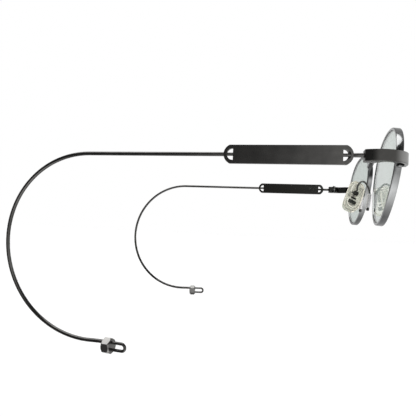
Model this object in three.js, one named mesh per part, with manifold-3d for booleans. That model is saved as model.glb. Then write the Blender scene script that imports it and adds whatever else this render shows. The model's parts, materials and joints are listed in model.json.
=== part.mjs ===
// Wire sunglasses: oval band rims on an arched bridge, broad curved end pieces, hinged temples with a
// flat plate in the wire, and large ear hooks that end in a hexagonal bead and a small loop.
// Millimetres. +X is the wearer's left, +Y points to the ears, +Z is up, and the origin lies midway
// between the two nose pads. Outlines are drawn for the left side and mirrored for the right.
import * as THREE from 'three';
import { mergeVertices } from 'three/addons/utils/BufferGeometryUtils.js';
import Module from 'manifold-3d';

const { clamp, degToRad } = THREE.MathUtils;
const QUARTER = Math.PI / 2;

// Driving dimensions: the whole
const SIDES = { right: -1, left: 1 };
const FIT_GAP = 0.2;
const OUTER_X = 72.2;
const TEMPLE_X = 70;
const TEMPLE_LEVEL = 9.6;
const WIRE_RADIUS = 0.53;
const WIRE_FACETS = 10;

// Driving dimensions: rims, lenses and bridge
const RIM_CENTRE = { x: 34, y: -8.76, z: 7.2 };
const RIM_HALF_WIDTH = 24.5;
const RIM_HALF_HEIGHT = 19;
const RIM_EGG = 0.045;
const RIM_DEPTH = 2.5;
const RIM_WALL = 1.1;
const RIM_TILT = degToRad(5.7);
const RIM_WRAP = degToRad(2.6);
const RIM_POINTS = 64;
const LENS_EDGE = 0.2;
const LENS_BEVEL = 0.8;
const LENS_BITE = 0.45;
const LOCK_LEVEL = 2.1;
const LOCK_HEIGHT = 1.8;
const LOCK_WIDTH = 2;
const LOCK_DEPTH = 2.1;
const LOCK_FRONT = 0.9;
const LOCK_STANDOFF = 0.5;
const LOCK_SCREW_RADIUS = 0.4;
const LOCK_HEAD_RADIUS = 0.7;
const LOCK_HEAD_HEIGHT = 0.4;
const BRIDGE_HALF_SPAN = 14;
const BRIDGE_RISE = 2.8;
const BRIDGE_FOOT_LEVEL = 15.4;
const BRIDGE_THICK = 1.3;
const BRIDGE_CENTRE_Y = -10.2;
const BRIDGE_STEPS = 16;

// Driving dimensions: end pieces and hinges
const LUG_LEVEL = 9.5;
const LUG_HEIGHT = 3.7;
const LUG_THICK = 1.2;
const LUG_REAR_Y = 2.85;
const LUG_BEND_Y = 0.8;
const LUG_BEND_WIDTH = 12.4;
const LUG_BEND_DEPTH = 11;
const LUG_TIP_X = 56.8;
const LUG_TIP_CORNER = 1.3;
const LUG_STEPS = 14;
const HINGE_X = 68;
const HINGE_Y = 1.7;
const KNUCKLE_RADIUS = 1.1;
const KNUCKLE_HEIGHT = 1.2;
const KNUCKLE_PLAY = 0.15;
const KNUCKLE_FACETS = 20;
const HINGE_SCREW_RADIUS = 0.5;
const HINGE_HEAD_RADIUS = 0.85;
const HINGE_HEAD_HEIGHT = 0.4;
const SCREW_PLAY = 0.1;
const SCREW_FACETS = 12;
const LEAF_THICK = 0.9;
const LEAF_START = degToRad(-15);
const LEAF_REACH = degToRad(-45);
const LEAF_WEB = { x: 0.66, y: 0.88 };

// Driving dimensions: temples
const ROOT_FRONT_Y = 3.05;
const ROOT_REAR_Y = 4.9;
const ROOT_INNER_X = 66.9;
const ROOT_CORNER = 0.55;
const TENON_WIDTH = 1.7;
const TENON_INNER_X = 67;
const TENON_DEPTH = 1.1;
const SOCKET_DEPTH = 1;
const PLATE_CENTRE_Y = 29.1;
const PLATE_LENGTH = 41.9;
const PLATE_HEIGHT = 6.3;
const PLATE_THICK = 1.2;
const PLATE_END_RADIUS = 3.45;
const WINDOW_RADIUS = 1.95;
const WINDOW_RIM = 1.1;
const WINDOW_CHORD = 0.15;
const CROSS_BAR_RADIUS = 0.54;
const HOOK_STRAIGHT = 49.8;
const HOOK_RADIUS = 34.8;
const HOOK_SWEEP = degToRad(181.5);
const HOOK_TIP_RADIUS = 50;
const HOOK_TIP_TURN = degToRad(7.5);
const HOOK_TOE_IN = degToRad(1.05);
const HOOK_ROLL = degToRad(4.7);
const HOOK_STEPS = 64;
const BEAD_FLATS = 5.3;
const BEAD_LENGTH = 3.5;
const BEAD_FACE_RADIUS = 2.4;
const BEAD_DROP = 1.3;
const BEAD_FACETS = 24;
const LOOP_RADIUS = 0.52;
const LOOP_HALF_GAP = 1.35;
const LOOP_LENGTH = 5.3;
const LOOP_STEPS = 16;

// Driving dimensions: nose pads and their arms
const PAD_PIVOT = { x: 9.3, y: 0.1, z: 0.95 };
const PAD_FORWARD = { right: 0, left: 2 };
const PAD_SPLAY = degToRad(20);
const PAD_FLARE = degToRad(16);
const PAD_LEAN = degToRad(25);
const PAD_OFF_CENTRE = -0.65;
const PAD_HALF_WIDTH = 3.9;
const PAD_HALF_HEIGHT = 7.35;
const PAD_SQUARENESS = 3.4;
const PAD_CORE = 0.8;
const PAD_ROUND = 0.8;
const PAD_POINTS = 32;
const INSERT_LEVEL = -1.75;
const INSERT_WIDTH = 3.6;
const INSERT_HEIGHT = 5.5;
const INSERT_THICK = 0.6;
const PIVOT_OUT = 2.5;
const TAB_THICK = 0.8;
const TAB_RADIUS = 0.75;
const BOX_WIDTH = 2.4;
const BOX_HEIGHT = 1.9;
const BOX_NEAR = 1.65;
const BOX_FAR = 3.75;
const BOX_BACK_WALL = 0.3;
const PAD_PIN_RADIUS = 0.3;
const PAD_PIN_HEAD_RADIUS = 0.5;
const PAD_PIN_HEAD_HEIGHT = 0.3;
const POST_RADIUS = 0.85;
const POST_LENGTH = 6.2;
const POST_LEVEL = -8.8;
const POST_INSET = 1.3;
const POST_RIBS = 4;
const POST_GROOVE = 0.13;
const POST_SOCKET = 1.6;
const ARM_RADIUS = 0.42;
const ARM_BEND = [[10.9, -5.9, 5.2], [11.2, -3.8, 7.2], [11.7, -1.8, 5.6]];
const ARM_STEPS = 24;

// Finishes
const finish = (color, roughness, metalness, opacity = 1) => new THREE.MeshStandardMaterial({
  color, roughness, metalness, opacity, transparent: opacity < 1,
});
const GUNMETAL = finish(0x4b4a47, 0.45, 1);
const DARK_STEEL = finish(0x5c5b59, 0.25, 1);
const BRIGHT_STEEL = finish(0xb4b6b6, 0.18, 1);
const TINTED_LENS = finish(0xc9d3cf, 0.05, 0, 0.4);
const CLEAR_SILICONE = finish(0xe6e2c6, 0.25, 0, 0.6);

const wasm = await Module();
wasm.setup();

// A closed geometry as a solid: shared corners are merged and collapsed facets dropped.
function toSolid(geometry) {
  const bare = geometry.clone();
  bare.deleteAttribute('normal');
  bare.deleteAttribute('uv');
  const merged = mergeVertices(bare);
  const corners = merged.index.array;
  const kept = [];
  for (let i = 0; i < corners.length; i += 3) {
    const [a, b, c] = corners.slice(i, i + 3);
    if (a !== b && b !== c && c !== a) kept.push(a, b, c);
  }
  return new wasm.Manifold(new wasm.Mesh({
    numProp: 3,
    vertProperties: new Float32Array(merged.attributes.position.array),
    triVerts: new Uint32Array(kept),
  }));
}

function toGeometry(solid) {
  const mesh = solid.getMesh();
  const geometry = new THREE.BufferGeometry();
  geometry.setAttribute('position', new THREE.BufferAttribute(mesh.vertProperties, 3));
  geometry.setIndex(new THREE.BufferAttribute(mesh.triVerts, 1));
  geometry.computeVertexNormals();
  return geometry;
}

function cut(body, ...tools) {
  return toGeometry(tools.reduce((solid, tool) => solid.subtract(toSolid(tool)), toSolid(body)));
}

function join(...bodies) {
  return toGeometry(bodies.map(toSolid).reduce((solid, next) => solid.add(next)));
}

function common(first, second) {
  return toGeometry(toSolid(first).intersect(toSolid(second)));
}

function addMesh(parent, name, geometry, material) {
  const mesh = new THREE.Mesh(geometry, material);
  mesh.name = name;
  parent.add(mesh);
}

function extrude(shape, depth, curveSegments = 12) {
  return new THREE.ExtrudeGeometry(shape, { depth, curveSegments, bevelEnabled: false });
}

// Stands a drawn outline up lengthwise: its x runs along Y, its y points up, its depth across X.
function standLengthwise(geometry) {
  return geometry.rotateY(QUARTER).rotateX(QUARTER);
}

function arcPoints(x, y, rx, ry, from, to, steps) {
  return Array.from({ length: steps + 1 }, (_, i) => {
    const angle = from + ((to - from) * i) / steps;
    return [x + rx * Math.cos(angle), y + ry * Math.sin(angle)];
  });
}

// An outline seen from above, mirrored to its side and raised from `low` to `high`.
function standPlan(points, side, low, high) {
  const shape = new THREE.Shape(points.map(([x, y]) => new THREE.Vector2(side * x, y)));
  return extrude(shape, high - low).translate(0, 0, low);
}

function planBox([x0, y0], [x1, y1], side, low, high) {
  return standPlan([[x0, y0], [x1, y0], [x1, y1], [x0, y1]], side, low, high);
}

// An upright cylinder on the hinge's axis.
function hingePin(radius, side, low, high, facets) {
  return new THREE.CylinderGeometry(radius, radius, high - low, facets)
    .rotateX(QUARTER)
    .translate(side * HINGE_X, HINGE_Y, (low + high) / 2);
}

function roundWire(path, radius, steps) {
  const section = new THREE.Shape().absarc(0, 0, radius, 0, 2 * Math.PI);
  return new THREE.ExtrudeGeometry(section, {
    steps, curveSegments: WIRE_FACETS / 2, bevelEnabled: false, extrudePath: path,
  });
}

// A shank along +Y that ends in a flat head.
function screw(radius, length, headRadius, headHeight) {
  const profile = [
    [0, 0], [radius, 0], [radius, length], [headRadius, length],
    [headRadius, length + headHeight], [0, length + headHeight],
  ];
  return new THREE.LatheGeometry(profile.map(([r, h]) => new THREE.Vector2(r, h)), SCREW_FACETS);
}

// The bore for a wire's end, along Y and centred on the face that it opens in.
function wireBore() {
  const radius = WIRE_RADIUS + FIT_GAP;
  return new THREE.CylinderGeometry(radius, radius, 2 * SOCKET_DEPTH, SCREW_FACETS);
}

// The rim's outline is an ellipse drawn out like an egg, widest above its middle.
function rimOutline(grow = 0) {
  return Array.from({ length: RIM_POINTS }, (_, i) => {
    const angle = (2 * Math.PI * i) / RIM_POINTS;
    const egg = 1 + RIM_EGG * Math.sin(3 * angle);
    return new THREE.Vector2(
      (RIM_HALF_WIDTH + grow) * egg * Math.cos(angle),
      (RIM_HALF_HEIGHT + grow) * egg * Math.sin(angle),
    );
  });
}

// A flat lens whose edge is ground to a ridge; the rim's groove is the same form, grown by the gap.
function lensBlank(grow = 0) {
  const face = new THREE.Shape(rimOutline(LENS_BITE - RIM_WALL - LENS_BEVEL + grow));
  const edge = LENS_EDGE + 2 * grow;
  return new THREE.ExtrudeGeometry(face, {
    depth: edge, bevelThickness: LENS_BEVEL, bevelSize: LENS_BEVEL, bevelSegments: 1,
  }).translate(0, 0, -edge / 2);
}

function rimBand(side) {
  const ring = new THREE.Shape(rimOutline());
  ring.holes.push(new THREE.Path(rimOutline(-RIM_WALL)));
  const band = extrude(ring, RIM_DEPTH).translate(0, 0, -RIM_DEPTH / 2);
  const slit = new THREE.BoxGeometry(4 * RIM_WALL, FIT_GAP, 2 * RIM_DEPTH)
    .translate(side * RIM_HALF_WIDTH, LOCK_LEVEL, 0);
  return cut(band, lensBlank(FIT_GAP), slit);
}

// The axis of the lock's screw, in the rim's own turned frame.
function lockAxis(side) {
  const round = LOCK_WIDTH / 2;
  return { x: side * (RIM_HALF_WIDTH + LOCK_STANDOFF + round), z: LOCK_FRONT - LOCK_DEPTH + round };
}

// One half of the block that closes the rim, with the hole for its screw.
function lockHalf(side, low) {
  const round = LOCK_WIDTH / 2;
  const axis = lockAxis(side);
  const outline = new THREE.Shape();
  outline.moveTo(-round, 0);
  outline.lineTo(round, 0);
  outline.lineTo(round, LOCK_DEPTH - round);
  outline.absarc(0, LOCK_DEPTH - round, round, 0, Math.PI);
  const block = extrude(outline, LOCK_HEIGHT, 8).rotateX(-QUARTER).translate(axis.x, low, LOCK_FRONT);
  const radius = LOCK_SCREW_RADIUS + SCREW_PLAY;
  const hole = new THREE.CylinderGeometry(radius, radius, 2 * LOCK_HEIGHT, SCREW_FACETS)
    .translate(axis.x, low + LOCK_HEIGHT / 2, axis.z);
  return cut(block, hole);
}

function lockScrew(side) {
  const axis = lockAxis(side);
  const length = 2 * LOCK_HEIGHT + 2 * FIT_GAP;
  return screw(LOCK_SCREW_RADIUS, length, LOCK_HEAD_RADIUS, LOCK_HEAD_HEIGHT)
    .translate(axis.x, LOCK_LEVEL - length / 2 + FIT_GAP / 2, axis.z);
}

// The ribbed tube behind the rim's nose side that takes the foot of the pad arm.
function padPost(side) {
  const profile = [[0, 0], [POST_RADIUS, 0]];
  const pitch = POST_LENGTH / (POST_RIBS + 1);
  for (let rib = 1; rib <= POST_RIBS; rib += 1) {
    const height = rib * pitch;
    profile.push([POST_RADIUS, height - 2 * POST_GROOVE]);
    profile.push([POST_RADIUS - POST_GROOVE, height]);
    profile.push([POST_RADIUS, height + 2 * POST_GROOVE]);
  }
  const bore = ARM_RADIUS + FIT_GAP / 2;
  profile.push([POST_RADIUS, POST_LENGTH], [bore, POST_LENGTH]);
  profile.push([bore, POST_LENGTH - POST_SOCKET], [0, POST_LENGTH - POST_SOCKET]);
  const place = postTop(side);
  return new THREE.LatheGeometry(profile.map(([r, h]) => new THREE.Vector2(r, h)), SCREW_FACETS)
    .translate(place.x, place.y - POST_LENGTH, place.z);
}

// The mouth of the pad post, in the rim's own turned frame.
function postTop(side) {
  return new THREE.Vector3(
    -side * (RIM_HALF_WIDTH - POST_INSET),
    POST_LEVEL + POST_LENGTH / 2,
    -RIM_DEPTH / 2 - FIT_GAP - POST_RADIUS,
  );
}

function rimFrame(side) {
  const frame = new THREE.Group();
  frame.position.set(side * RIM_CENTRE.x, RIM_CENTRE.y, RIM_CENTRE.z);
  frame.rotation.set(QUARTER + RIM_TILT, 0, side * RIM_WRAP, 'ZYX');
  frame.updateMatrix();
  return frame;
}

// The room that a rim takes, with the fitting gap round it: what meets the rim is trimmed by it.
function rimSeat(side, depth) {
  return extrude(new THREE.Shape(rimOutline(FIT_GAP)), depth)
    .translate(0, 0, -depth / 2)
    .applyMatrix4(rimFrame(side).matrix);
}

// An arched band, trimmed at both ends to the outside of the rims.
function bridgeArch() {
  const radius = (BRIDGE_HALF_SPAN ** 2 + BRIDGE_RISE ** 2) / (2 * BRIDGE_RISE);
  const reach = Math.asin(BRIDGE_HALF_SPAN / radius);
  const centreZ = BRIDGE_FOOT_LEVEL + BRIDGE_RISE - radius;
  const outer = radius + BRIDGE_THICK;
  const outline = [
    ...arcPoints(0, centreZ, radius, radius, QUARTER - reach, QUARTER + reach, BRIDGE_STEPS),
    ...arcPoints(0, centreZ, outer, outer, QUARTER + reach, QUARTER - reach, BRIDGE_STEPS),
  ];
  const arch = standPlan(outline, 1, -RIM_DEPTH / 2, RIM_DEPTH / 2)
    .rotateX(QUARTER)
    .translate(0, BRIDGE_CENTRE_Y, 0);
  return cut(arch, ...Object.values(SIDES).map((side) => rimSeat(side, 4 * RIM_DEPTH)));
}

const LUG_BEND_X = OUTER_X - LUG_BEND_WIDTH;
const LUG_LOW = LUG_LEVEL - LUG_HEIGHT / 2;
const LUG_HIGH = LUG_LEVEL + LUG_HEIGHT / 2;

function lugArc(inset, from, to, steps) {
  const width = LUG_BEND_WIDTH - inset;
  const depth = LUG_BEND_DEPTH - inset;
  return arcPoints(LUG_BEND_X, LUG_BEND_Y, width, depth, from, to, steps);
}

// Where the end piece's curve, moved inwards, passes a place along the temple.
function lugAngle(inset, y) {
  return Math.asin((y - LUG_BEND_Y) / (LUG_BEND_DEPTH - inset));
}

// The end piece curves forward beside the hinge, bends round and lies across the rim's front.
function endPiece(side) {
  const frontY = LUG_BEND_Y - LUG_BEND_DEPTH;
  const band = standPlan([
    ...lugArc(0, lugAngle(0, LUG_REAR_Y), -QUARTER, LUG_STEPS),
    [LUG_TIP_X, frontY],
    [LUG_TIP_X, frontY + LUG_THICK],
    ...lugArc(LUG_THICK, -QUARTER, lugAngle(LUG_THICK, LUG_REAR_Y), LUG_STEPS),
  ], side, LUG_LOW, LUG_HIGH);
  const corner = (level, from) => arcPoints(
    LUG_TIP_X + LUG_TIP_CORNER, level, LUG_TIP_CORNER, LUG_TIP_CORNER, from, from + QUARTER, 4,
  );
  const face = [
    [OUTER_X + 1, LUG_LOW],
    [OUTER_X + 1, LUG_HIGH],
    ...corner(LUG_HIGH - LUG_TIP_CORNER, QUARTER),
    ...corner(LUG_LOW + LUG_TIP_CORNER, 2 * QUARTER),
  ];
  const mask = standPlan(face, side, 2 * frontY, -2 * frontY).rotateX(QUARTER);
  return cut(common(band, mask), rimSeat(side, RIM_DEPTH + 2 * FIT_GAP));
}

const KNUCKLE_LOW = LUG_LEVEL - KNUCKLE_HEIGHT / 2;
const KNUCKLE_HIGH = LUG_LEVEL + KNUCKLE_HEIGHT / 2;
const SCREW_HOLE = HINGE_SCREW_RADIUS + SCREW_PLAY;

// The front leaf fills the corner behind the end piece and carries the upper and lower knuckles.
function frontLeaf(side) {
  const seat = LUG_THICK + FIT_GAP;
  const body = standPlan([
    ...lugArc(seat, lugAngle(seat, HINGE_Y + KNUCKLE_RADIUS), LEAF_REACH, 7),
    ...lugArc(seat + LEAF_THICK, LEAF_REACH, LEAF_START, 6),
    [HINGE_X - LEAF_WEB.x, HINGE_Y - LEAF_WEB.y],
    [HINGE_X, HINGE_Y + KNUCKLE_RADIUS],
  ], side, LUG_LOW, LUG_HIGH);
  const barrel = hingePin(KNUCKLE_RADIUS, side, LUG_LOW, LUG_HIGH, KNUCKLE_FACETS);
  const swing = KNUCKLE_RADIUS + FIT_GAP;
  const slot = planBox(
    [HINGE_X - 2 * swing, HINGE_Y - swing], [HINGE_X + swing, HINGE_Y + 2 * swing],
    side, KNUCKLE_LOW - KNUCKLE_PLAY, KNUCKLE_HIGH + KNUCKLE_PLAY,
  );
  const hole = hingePin(SCREW_HOLE, side, LUG_LOW - 1, LUG_HIGH + 1, SCREW_FACETS);
  return cut(join(body, barrel), slot, hole);
}

// The temple's knuckle, with a tenon that sits in the root block.
function templeLeaf(side) {
  const barrel = hingePin(KNUCKLE_RADIUS, side, KNUCKLE_LOW, KNUCKLE_HIGH, KNUCKLE_FACETS);
  const tenon = planBox(
    [TENON_INNER_X, HINGE_Y], [TENON_INNER_X + TENON_WIDTH, ROOT_FRONT_Y + TENON_DEPTH],
    side, KNUCKLE_LOW, KNUCKLE_HIGH,
  );
  const hole = hingePin(SCREW_HOLE, side, KNUCKLE_LOW - 1, KNUCKLE_HIGH + 1, SCREW_FACETS);
  return cut(join(barrel, tenon), hole);
}

function hingeScrew(side) {
  return screw(HINGE_SCREW_RADIUS, LUG_HEIGHT + FIT_GAP, HINGE_HEAD_RADIUS, HINGE_HEAD_HEIGHT)
    .rotateX(QUARTER)
    .translate(side * HINGE_X, HINGE_Y, LUG_LOW);
}

// The root block: it goes on with the end piece's curve, is mortised for the leaf and bored for the stem.
function templeRoot(side) {
  const corner = (x, from) => arcPoints(
    x, ROOT_REAR_Y - ROOT_CORNER, ROOT_CORNER, ROOT_CORNER, from, from + QUARTER, 4,
  );
  const flank = lugArc(0, lugAngle(0, ROOT_FRONT_Y), lugAngle(0, ROOT_REAR_Y - ROOT_CORNER), 3);
  const [flankEndX] = flank.pop();
  const block = standPlan([
    [ROOT_INNER_X, ROOT_FRONT_Y],
    ...flank,
    ...corner(flankEndX - ROOT_CORNER, 0),
    ...corner(ROOT_INNER_X + ROOT_CORNER, QUARTER),
  ], side, LUG_LOW, LUG_HIGH);
  const mortise = planBox(
    [ROOT_INNER_X - 1, ROOT_FRONT_Y - 1],
    [TENON_INNER_X + TENON_WIDTH + FIT_GAP, ROOT_FRONT_Y + TENON_DEPTH + FIT_GAP],
    side, KNUCKLE_LOW - FIT_GAP, KNUCKLE_HIGH + FIT_GAP,
  );
  return cut(block, mortise, wireBore().translate(side * TEMPLE_X, ROOT_REAR_Y, TEMPLE_LEVEL));
}

function stemWire(side) {
  const start = ROOT_REAR_Y - SOCKET_DEPTH + FIT_GAP;
  const end = PLATE_CENTRE_Y - PLATE_LENGTH / 2 - FIT_GAP;
  return new THREE.CylinderGeometry(WIRE_RADIUS, WIRE_RADIUS, end - start, WIRE_FACETS)
    .translate(side * TEMPLE_X, (start + end) / 2, TEMPLE_LEVEL);
}

// The plate has bowed ends, and near each end a D-shaped window crossed by a bar.
function namePlate(side) {
  const half = PLATE_HEIGHT / 2;
  const bowCentre = PLATE_LENGTH / 2 - PLATE_END_RADIUS;
  const bow = Math.asin(half / PLATE_END_RADIUS);
  const outline = new THREE.Shape();
  outline.absarc(bowCentre, 0, PLATE_END_RADIUS, -bow, bow);
  outline.absarc(-bowCentre, 0, PLATE_END_RADIUS, Math.PI - bow, Math.PI + bow);
  const windowCentre = PLATE_LENGTH / 2 - WINDOW_RIM - WINDOW_RADIUS;
  const opening = Math.PI - Math.acos(WINDOW_CHORD / WINDOW_RADIUS);
  const bars = [1, -1].map((end) => {
    const turn = end > 0 ? 0 : Math.PI;
    const pane = new THREE.Path();
    pane.absarc(end * windowCentre, 0, WINDOW_RADIUS, turn - opening, turn + opening);
    outline.holes.push(pane);
    const length = WINDOW_RADIUS + 2 * WINDOW_CHORD + WINDOW_RIM / 2;
    return new THREE.CylinderGeometry(CROSS_BAR_RADIUS, CROSS_BAR_RADIUS, length, WIRE_FACETS)
      .rotateZ(QUARTER)
      .translate(end * (windowCentre - 2 * WINDOW_CHORD + length / 2), 0, 0);
  });
  const slab = extrude(outline, PLATE_THICK).translate(0, 0, -PLATE_THICK / 2);
  return standLengthwise(join(slab, ...bars)).translate(side * TEMPLE_X, PLATE_CENTRE_Y, TEMPLE_LEVEL);
}

// Straight out along x, round and down in a circular hook, and at the tip outwards from the head.
class HookPath extends THREE.Curve {
  constructor(side) {
    super();
    this.side = side;
  }

  getPoint(t) {
    const hookLength = HOOK_RADIUS * HOOK_SWEEP;
    const along = t * (HOOK_STRAIGHT + hookLength + HOOK_TIP_RADIUS * HOOK_TIP_TURN);
    const angle = clamp((along - HOOK_STRAIGHT) / HOOK_RADIUS, 0, HOOK_SWEEP);
    const turn = Math.max(0, along - HOOK_STRAIGHT - hookLength) / HOOK_TIP_RADIUS;
    const ahead = HOOK_TIP_RADIUS * Math.sin(turn);
    return new THREE.Vector3(
      Math.min(along, HOOK_STRAIGHT) + HOOK_RADIUS * Math.sin(angle) + ahead * Math.cos(HOOK_SWEEP),
      -HOOK_RADIUS * (1 - Math.cos(angle)) - ahead * Math.sin(HOOK_SWEEP),
      this.side * HOOK_TIP_RADIUS * (1 - Math.cos(turn)),
    );
  }
}

// A narrow U of wire, its legs side by side along x.
class LoopPath extends THREE.Curve {
  getPoint(t) {
    const leg = LOOP_LENGTH - LOOP_HALF_GAP;
    const bend = Math.PI * LOOP_HALF_GAP;
    const along = t * (2 * leg + bend);
    if (along < leg) return new THREE.Vector3(along, LOOP_HALF_GAP, 0);
    if (along > leg + bend) return new THREE.Vector3(2 * leg + bend - along, -LOOP_HALF_GAP, 0);
    const angle = QUARTER - (along - leg) / LOOP_HALF_GAP;
    return new THREE.Vector3(leg + LOOP_HALF_GAP * Math.cos(angle), LOOP_HALF_GAP * Math.sin(angle), 0);
  }
}

// A hexagonal bar turned conical at both ends; the hook's end enters it off its middle.
function hexBead() {
  const acrossCorners = BEAD_FLATS / Math.cos(Math.PI / 6);
  const corner = acrossCorners / 2;
  const bar = new THREE.CylinderGeometry(corner, corner, BEAD_LENGTH, 6, 1, false, Math.PI / 6);
  const half = BEAD_LENGTH / 2;
  const shoulder = half - (corner - BEAD_FACE_RADIUS);
  const profile = [
    [0, -half], [BEAD_FACE_RADIUS, -half], [corner, -shoulder],
    [corner, shoulder], [BEAD_FACE_RADIUS, half], [0, half],
  ];
  const turned = new THREE.LatheGeometry(profile.map(([r, h]) => new THREE.Vector2(r, h)), BEAD_FACETS);
  return cut(common(bar, turned), wireBore().translate(BEAD_DROP, -half, 0))
    .rotateZ(-QUARTER)
    .translate(half - SOCKET_DEPTH + FIT_GAP, BEAD_DROP, 0);
}

function addHook(parent, label, side) {
  const hook = new THREE.Group();
  hook.position.set(side * TEMPLE_X, PLATE_CENTRE_Y + PLATE_LENGTH / 2 + FIT_GAP, TEMPLE_LEVEL);
  hook.rotation.set(0, side * HOOK_ROLL, side * HOOK_TOE_IN, 'ZYX');
  parent.add(hook);
  const lengthwise = new THREE.Group();
  lengthwise.rotation.set(QUARTER, QUARTER, 0);
  hook.add(lengthwise);
  const path = new HookPath(side);
  addMesh(lengthwise, `ear_wire_${label}`, roundWire(path, WIRE_RADIUS, HOOK_STEPS), DARK_STEEL);
  const end = new THREE.Group();
  end.position.copy(path.getPoint(1));
  end.rotation.set(0, -side * HOOK_TIP_TURN, -HOOK_SWEEP, 'ZYX');
  lengthwise.add(end);
  addMesh(end, `hex_bead_${label}`, hexBead(), DARK_STEEL);
  const loop = roundWire(new LoopPath(), LOOP_RADIUS, LOOP_STEPS)
    .translate(BEAD_LENGTH - SOCKET_DEPTH + 2 * FIT_GAP, BEAD_DROP, 0);
  addMesh(end, `end_loop_${label}`, loop, DARK_STEEL);
}

// How far forward the pad sits: its arm is bent by hand to fit a nose, and not alike on both sides.
function padForward(side) {
  return side > 0 ? PAD_FORWARD.left : PAD_FORWARD.right;
}

// The pad's own frame: its middle lies under the pivot, x points away from the nose.
function padFrame(side) {
  const frame = new THREE.Group();
  frame.position.set(side * PAD_PIVOT.x, PAD_PIVOT.y - padForward(side), PAD_PIVOT.z);
  frame.rotation.set(PAD_LEAN, -side * PAD_FLARE, -side * PAD_SPLAY, 'ZYX');
  frame.updateMatrix();
  return frame;
}

const PAD_FACE = PAD_CORE / 2 + PAD_ROUND;

// A box in the pad's own frame, measured outwards from the middle of the pad's thickness.
function padBlock(side, [out0, out1], [y0, y1], [z0, z1]) {
  return new THREE.BoxGeometry(out1 - out0, y1 - y0, z1 - z0)
    .translate(side * (out0 + out1) / 2, (y0 + y1) / 2, (z0 + z1) / 2);
}

function crossPin(radius, length, side) {
  return new THREE.CylinderGeometry(radius, radius, length, SCREW_FACETS)
    .translate(side * PIVOT_OUT, 0, 0);
}

function insertBlock(side, grow) {
  const halfWidth = INSERT_WIDTH / 2 + grow;
  const halfHeight = INSERT_HEIGHT / 2 + grow;
  return padBlock(
    side,
    [PAD_FACE - INSERT_THICK - grow, PAD_FACE + grow],
    [PAD_OFF_CENTRE - halfWidth, PAD_OFF_CENTRE + halfWidth],
    [INSERT_LEVEL - halfHeight, INSERT_LEVEL + halfHeight],
  );
}

// The pad's outline is an oval that is a little squarer than an ellipse.
function padOutline() {
  const swell = (value) => Math.sign(value) * Math.abs(value) ** (2 / PAD_SQUARENESS);
  return Array.from({ length: PAD_POINTS }, (_, i) => {
    const angle = (2 * Math.PI * i) / PAD_POINTS;
    return new THREE.Vector2(
      PAD_OFF_CENTRE + PAD_HALF_WIDTH * swell(Math.cos(angle)),
      PAD_HALF_HEIGHT * swell(Math.sin(angle)),
    );
  });
}

// A soft pad with rounded edges and a pocket for its metal insert.
function nosePad(side) {
  const body = new THREE.ExtrudeGeometry(new THREE.Shape(padOutline()), {
    depth: PAD_CORE,
    bevelThickness: PAD_ROUND,
    bevelSize: PAD_ROUND,
    bevelOffset: -PAD_ROUND,
    bevelSegments: 2,
  }).translate(0, 0, -PAD_CORE / 2);
  return cut(standLengthwise(body), insertBlock(side, FIT_GAP));
}

function padTab(side) {
  const shank = padBlock(
    side,
    [PAD_FACE - INSERT_THICK, PIVOT_OUT],
    [-TAB_THICK / 2, TAB_THICK / 2],
    [-TAB_RADIUS, TAB_RADIUS],
  );
  const tab = join(insertBlock(side, 0), shank, crossPin(TAB_RADIUS, TAB_THICK, side));
  return cut(tab, crossPin(PAD_PIN_RADIUS + SCREW_PLAY, BOX_WIDTH, side));
}

function padBox(side) {
  const halfWidth = BOX_WIDTH / 2;
  const halfHeight = BOX_HEIGHT / 2;
  const shell = padBlock(side, [BOX_NEAR, BOX_FAR], [-halfWidth, halfWidth], [-halfHeight, halfHeight]);
  const gapHalf = TAB_THICK / 2 + FIT_GAP;
  const gap = padBlock(
    side, [0, BOX_FAR - BOX_BACK_WALL], [-gapHalf, gapHalf], [-BOX_HEIGHT, BOX_HEIGHT],
  );
  return cut(shell, gap, crossPin(PAD_PIN_RADIUS + SCREW_PLAY, 2 * BOX_WIDTH, side));
}

function padScrew(side) {
  const length = BOX_WIDTH + FIT_GAP;
  return screw(PAD_PIN_RADIUS, length, PAD_PIN_HEAD_RADIUS, PAD_PIN_HEAD_HEIGHT)
    .translate(side * PIVOT_OUT, -BOX_WIDTH / 2, 0);
}

// A bent wire up out of the post, over and down on to the box.
function padArm(side) {
  const foot = postTop(side).sub(new THREE.Vector3(0, POST_SOCKET - FIT_GAP, 0));
  const boxTop = new THREE.Vector3(
    side * (BOX_FAR - ARM_RADIUS - FIT_GAP),
    0,
    BOX_HEIGHT / 2 + FIT_GAP,
  );
  const path = new THREE.CatmullRomCurve3([
    foot.applyMatrix4(rimFrame(side).matrix),
    postTop(side).applyMatrix4(rimFrame(side).matrix),
    ...ARM_BEND.map(([x, y, z], i) => {
      const share = i / (ARM_BEND.length - 1);
      return new THREE.Vector3(side * x, y - padForward(side) * share, z);
    }),
    boxTop.applyMatrix4(padFrame(side).matrix),
  ]);
  return roundWire(path, ARM_RADIUS, ARM_STEPS);
}

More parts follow.
